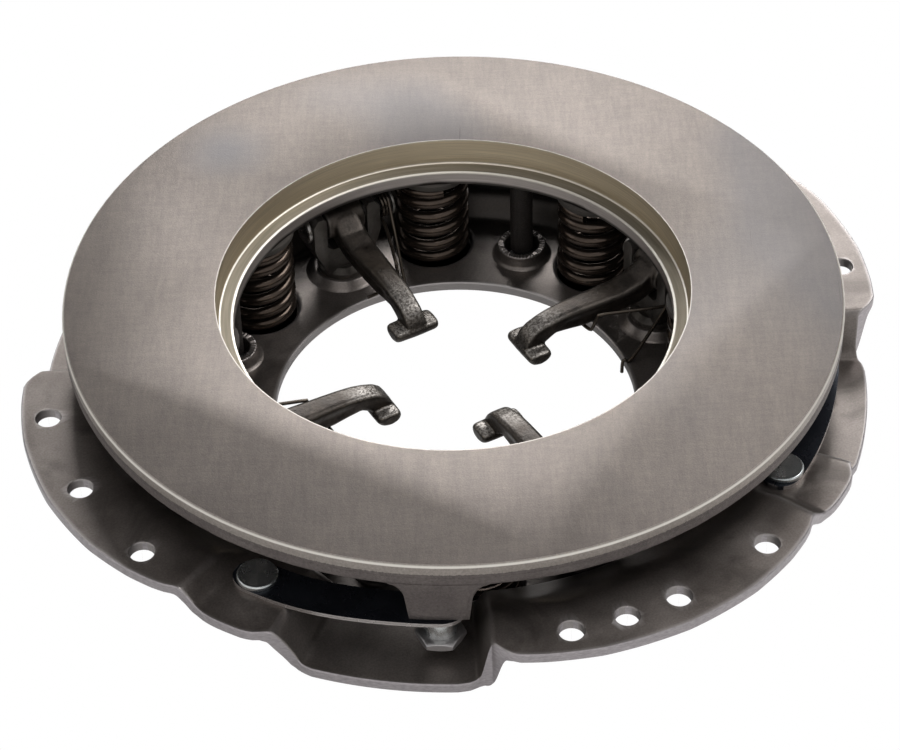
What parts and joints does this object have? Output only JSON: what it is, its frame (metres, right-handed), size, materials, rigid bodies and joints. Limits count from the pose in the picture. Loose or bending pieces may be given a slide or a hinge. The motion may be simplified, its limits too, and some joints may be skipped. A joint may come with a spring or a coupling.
{
  "type": "clutch pressure plate",
  "caption": "Clutch pressure plate with a pressed steel cover, cast iron ring, coil springs, drive straps and release levers held in adjustable forks.",
  "frame": {"origin": "on the axis, in the mounting plane of the cover's pads", "axes": "+Z along the axis towards the flywheel and the friction face, +X through the first release lever"},
  "size_m": [0.406, 0.406, 0.0905],
  "materials": {
    "cover_steel": "oiled pressed sheet, dark grey-brown",
    "fork_steel": "dark forged steel, lightly oiled",
    "nut_steel": "turned steel, oiled",
    "pin_steel": "ground steel pin",
    "clip_steel": "phosphated spring steel",
    "zinc_plate": "pale zinc plate",
    "bolt_steel": "dark machined bolt steel",
    "wire_steel": "oil-tempered wire",
    "spring_steel": "dark bronze-brown spring steel",
    "strap_steel": "blued strip steel",
    "plate_iron": "cast iron, ground friction face",
    "insulator_board": "dark brown heat-resistant board",
    "lever_steel": "dark forged steel with worn tops"
  },
  "bodies": {
    "cover": {"cover": "cover_steel", "lever_fork_1": "fork_steel", "lever_fork_2": "fork_steel", "lever_fork_3": "fork_steel", "lever_fork_4": "fork_steel", "adjusting_nut_1": "nut_steel", "adjusting_nut_2": "nut_steel", "adjusting_nut_3": "nut_steel", "adjusting_nut_4": "nut_steel", "fork_pin_1": "pin_steel", "fork_pin_2": "pin_steel", "fork_pin_3": "pin_steel", "fork_pin_4": "pin_steel", "fork_pin_clips": "clip_steel", "strap_rivets": "zinc_plate", "lever_spring_1": "wire_steel", "lever_spring_2": "wire_steel", "lever_spring_3": "wire_steel", "lever_spring_4": "wire_steel", "coil_spring_1": "spring_steel", "coil_spring_2": "spring_steel", "coil_spring_3": "spring_steel", "coil_spring_4": "spring_steel", "coil_spring_5": "spring_steel", "coil_spring_6": "spring_steel", "coil_spring_7": "spring_steel", "coil_spring_8": "spring_steel", "strap_1": "strap_steel", "strap_2": "strap_steel", "strap_3": "strap_steel", "strap_4": "strap_steel"},
    "pressure_plate": {"pressure_plate": "plate_iron", "plate_pin_1": "pin_steel", "plate_pin_2": "pin_steel", "plate_pin_3": "pin_steel", "plate_pin_4": "pin_steel", "plate_pin_clips": "clip_steel", "strap_bolts": "bolt_steel", "strap_sleeves": "zinc_plate", "spring_insulators": "insulator_board", "hold_down_bolts": "bolt_steel"},
    "lever_1": {"release_lever_1": "lever_steel"},
    "lever_2": {"release_lever_2": "lever_steel"},
    "lever_3": {"release_lever_3": "lever_steel"},
    "lever_4": {"release_lever_4": "lever_steel"}
  },
  "joints": [
    {"name": "plate_slide", "type": "slide", "parent": "cover", "child": "pressure_plate", "axis": [0, 0, 1], "range_m": [-0.005, 0], "stiffness_N_per_m": 20000, "springref_m": 0.01, "deforming": ["coil_spring_1", "coil_spring_2", "coil_spring_3", "coil_spring_4", "coil_spring_5", "coil_spring_6", "coil_spring_7", "coil_spring_8", "strap_1", "strap_2", "strap_3", "strap_4", "lever_spring_1", "lever_spring_2", "lever_spring_3", "lever_spring_4"]},
    {"name": "lever_pivot_1", "type": "hinge", "parent": "cover", "child": "lever_1", "pos_m": [0.111, 0, -0.0042], "axis": [0, 1, 0], "range_deg": [0, 15.2]},
    {"name": "lever_pivot_2", "type": "hinge", "parent": "cover", "child": "lever_2", "pos_m": [0, 0.111, -0.0042], "axis": [-1, 0, 0], "range_deg": [0, 15.2]},
    {"name": "lever_pivot_3", "type": "hinge", "parent": "cover", "child": "lever_3", "pos_m": [-0.111, 0, -0.0042], "axis": [0, -1, 0], "range_deg": [0, 15.2]},
    {"name": "lever_pivot_4", "type": "hinge", "parent": "cover", "child": "lever_4", "pos_m": [0, -0.111, -0.0042], "axis": [1, 0, 0], "range_deg": [0, 15.2]}
  ],
  "couplings": [
    {"joint": "lever_pivot_1", "follows": "plate_slide", "rad_per_m": -52.63},
    {"joint": "lever_pivot_2", "follows": "plate_slide", "rad_per_m": -52.63},
    {"joint": "lever_pivot_3", "follows": "plate_slide", "rad_per_m": -52.63},
    {"joint": "lever_pivot_4", "follows": "plate_slide", "rad_per_m": -52.63}
  ]
}
